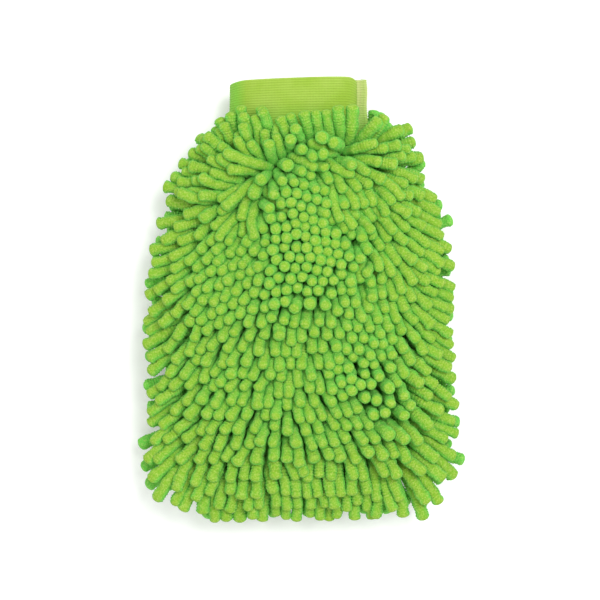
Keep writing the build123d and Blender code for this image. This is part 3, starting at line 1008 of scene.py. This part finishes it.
def knit_material(name, first, second, sheen, columns=1150.0):
    """Fine knit: vertical wales over the modelled ribs, with soft uneven colour and painted shade in
    the rib grooves, where the knit turns away and under the pile.
    """
    material, tree, shader = new_material(name)
    place = tree.nodes.new("ShaderNodeTexCoord")
    wales = tree.nodes.new("ShaderNodeTexWave")
    wales.wave_type = "BANDS"
    wales.bands_direction = "X"
    set_inputs(wales, {"Scale": columns / 6.28, "Distortion": 0.6})
    link(tree, place.outputs["Object"], wales.inputs["Vector"])
    cloud = contrast(tree, noise(tree, 50.0, 3.0), 0.35, 0.65, 1.0)
    grain = noise(tree, 2400.0, 3.0)
    colour = colour_mix(tree, cloud, first, second)
    # Painted shade where the knit turns away and under the pile, and painted shade in the rib grooves
    colour = colour_mix(tree, attribute(tree, "turned"), colour, KNIT_SHADE)
    groove = math_node(tree, "MULTIPLY", attribute(tree, "groove_shade"), 0.50)
    colour = colour_mix(tree, groove, colour, tuple(0.68 * c for c in first))
    dark = math_node(tree, "MULTIPLY", wales.outputs["Fac"], 0.05)
    colour = colour_mix(tree, dark, colour, tuple(0.5 * c for c in first))
    link(tree, colour, shader.inputs["Base Color"])
    set_inputs(shader, {
        "Roughness": 0.85,
        "Specular IOR Level": 0.2,
        "Sheen Weight": sheen,
        "Sheen Roughness": 0.5,
        "Sheen Tint": (0.75, 1.0, 0.5, 1.0),
    })
    relief = math_node(tree, "ADD", math_node(tree, "MULTIPLY", wales.outputs["Fac"], 0.35), grain)
    bump(tree, shader, relief, 0.00012, 0.6)
    return material


def rubber_material():
    """Covered elastic: pale rubber under a wound yarn."""
    material, tree, shader = new_material("elastic")
    colour = colour_mix(tree, noise(tree, 1500.0), (0.70, 0.72, 0.60), (0.82, 0.84, 0.74))
    link(tree, colour, shader.inputs["Base Color"])
    set_inputs(shader, {"Roughness": 0.6})
    bump(tree, shader, noise(tree, 3000.0), 0.0001, 0.5)
    return material


def floor_material():
    """A plain pale surface with the faintest unevenness."""
    material, tree, shader = new_material("pale_floor")
    colour = colour_mix(tree, noise(tree, 3.0), (0.955, 0.955, 0.955), (0.97, 0.97, 0.97))
    link(tree, colour, shader.inputs["Base Color"])
    set_inputs(shader, {"Roughness": 0.9, "Specular IOR Level": 0.1})
    return material


def finish_piece(piece, material, slot, *nodes):
    """Give a piece its material and body and hide the CAD nodes that it stands for; slot is not used.
    """
    piece.data.materials.append(material)
    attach(piece, BODY)
    if nodes:
        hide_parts(*nodes)


def build_pile():
    """Both faces' tufts, one piece for each stitch line."""
    chenille = chenille_material()
    paths, lengths, lines, sides = relaxed_pile()
    depth, outward = burial(paths, sides)
    radii = room(paths)
    for side, face in ((1, "front"), (-1, "back")):
        for line in range(LINES):
            own = (sides == side) & (lines == line)
            name = f"{face}_tufts_{line + 1:02d}"
            piece = tuft_mesh(name, paths[own], lengths[own], radii[own], depth[own],
                              outward[own], 100 * line + side + 7)
            finish_piece(piece, chenille, "chenille", f"{face}_tuft_line_{line + 1:02d}")


def build_cloth():
    """Base cloths and linings, one sheet for each panel."""
    # The base cloth's dark green is partly its own colour and partly painted shade for the gaps
    # between the tufts
    base = knit_material("base_cloth", (0.10, 0.36, 0.03), (0.16, 0.44, 0.05), 0.2, 1600.0)
    inner = knit_material("lining", (0.30, 0.60, 0.06), (0.38, 0.68, 0.09), 0.3, 1400.0)
    for side, face in ((1, "front"), (-1, "back")):
        cloth = panel_sheet(f"{face}_base_cloth_looks", 0.0, side, 1.1, 0.0, 3)
        finish_piece(cloth, base, "base_cloth", f"{face}_base_cloth")
        lining = panel_sheet(f"{face}_lining_looks", 1.8, side, 0.6, 0.5, 5 + side)
        finish_piece(lining, inner, "lining", f"{face}_lining")


def build_trim():
    """Cuff, its elastic and side seam, the neck binding and the body seam."""
    knit = knit_material("rib_knit", (0.265, 0.420, 0.036), (0.330, 0.475, 0.072), 0.25)
    # Painted highlight: the side seam's knit is paler and whiter, for the light that falls on the
    # cuff's right side
    pale = knit_material("side_seam_knit", (0.41, 0.490, 0.150), (0.46, 0.52, 0.180), 0.3)
    thread = knit_material("seam_thread", (0.33, 0.52, 0.08), (0.40, 0.58, 0.11), 0.3, 1900.0)
    finish_piece(cuff_mesh(), knit, "rib_knit", "rib_knit_cuff")
    finish_piece(elastic_rings(), rubber_material(), "elastic", "cuff_elastic_threads")
    finish_piece(flange_mesh(), pale, "seam_thread", "cuff_side_seam")
    finish_piece(flange_overlock(), thread, "seam_thread")
    finish_piece(neck_binding(), thread, "seam_thread", "neck_seam")
    finish_piece(body_seam_mesh(), thread, "seam_thread", "body_seam")


# Studio, in metres apart from the camera's sensor, which is in millimetres
CAMERA_HEIGHT = 1.15
CAMERA_Y = -0.0009
VIEW_WIDTH = 0.352
SENSOR = 36.0
FLOOR_DROP = 0.0004


# Lamps: name, place, side of the square, power in watts
LAMPS = (
    ("key", (0.34, 0.28, 1.30), 0.45, 11.5),
    ("fill", (-0.25, -0.20, 1.35), 0.6, 3.8),
)


def build_floor():
    """A wide pale surface just under the mitt."""
    far = 2000.0
    corners = np.array([(-far, -far, 0), (far, -far, 0), (far, far, 0), (-far, far, 0)])
    floor = add_object(mesh_from_arrays("floor", corners, np.array([[0, 1, 2, 3]])))
    floor.data.materials.append(floor_material())
    floor.location.z = -FLOOR_DROP


def build_light():
    """An even white sky and two soft lamps that point at the mitt."""
    scene = bpy.context.scene
    world = bpy.data.worlds.new("studio")
    world.use_nodes = True
    sky = {"Color": (1.0, 1.0, 1.0, 1.0), "Strength": 0.86}
    set_inputs(world.node_tree.nodes["Background"], sky)
    scene.world = world
    for name, place, size, power in LAMPS:
        light = bpy.data.lights.new(name, "AREA")
        light.size = size
        light.energy = power
        lamp = bpy.data.objects.new(name, light)
        lamp.location = place
        lamp.rotation_euler = (-lamp.location).to_track_quat("-Z", "Y").to_euler()
        scene.collection.objects.link(lamp)


def build_camera():
    """A camera that looks straight down and sees VIEW_WIDTH at the seam's height."""
    scene = bpy.context.scene
    camera_data = bpy.data.cameras.new("camera")
    camera_data.sensor_width = SENSOR
    camera_data.lens = SENSOR * (CAMERA_HEIGHT - SEAM_Z * MM) / VIEW_WIDTH
    camera = bpy.data.objects.new("camera", camera_data)
    camera.location = (0.0, CAMERA_Y, CAMERA_HEIGHT)
    scene.collection.objects.link(camera)
    scene.camera = camera
    scene.view_settings.view_transform = "Standard"


build_floor()
build_light()
build_camera()
build_trim()
build_cloth()
build_pile()
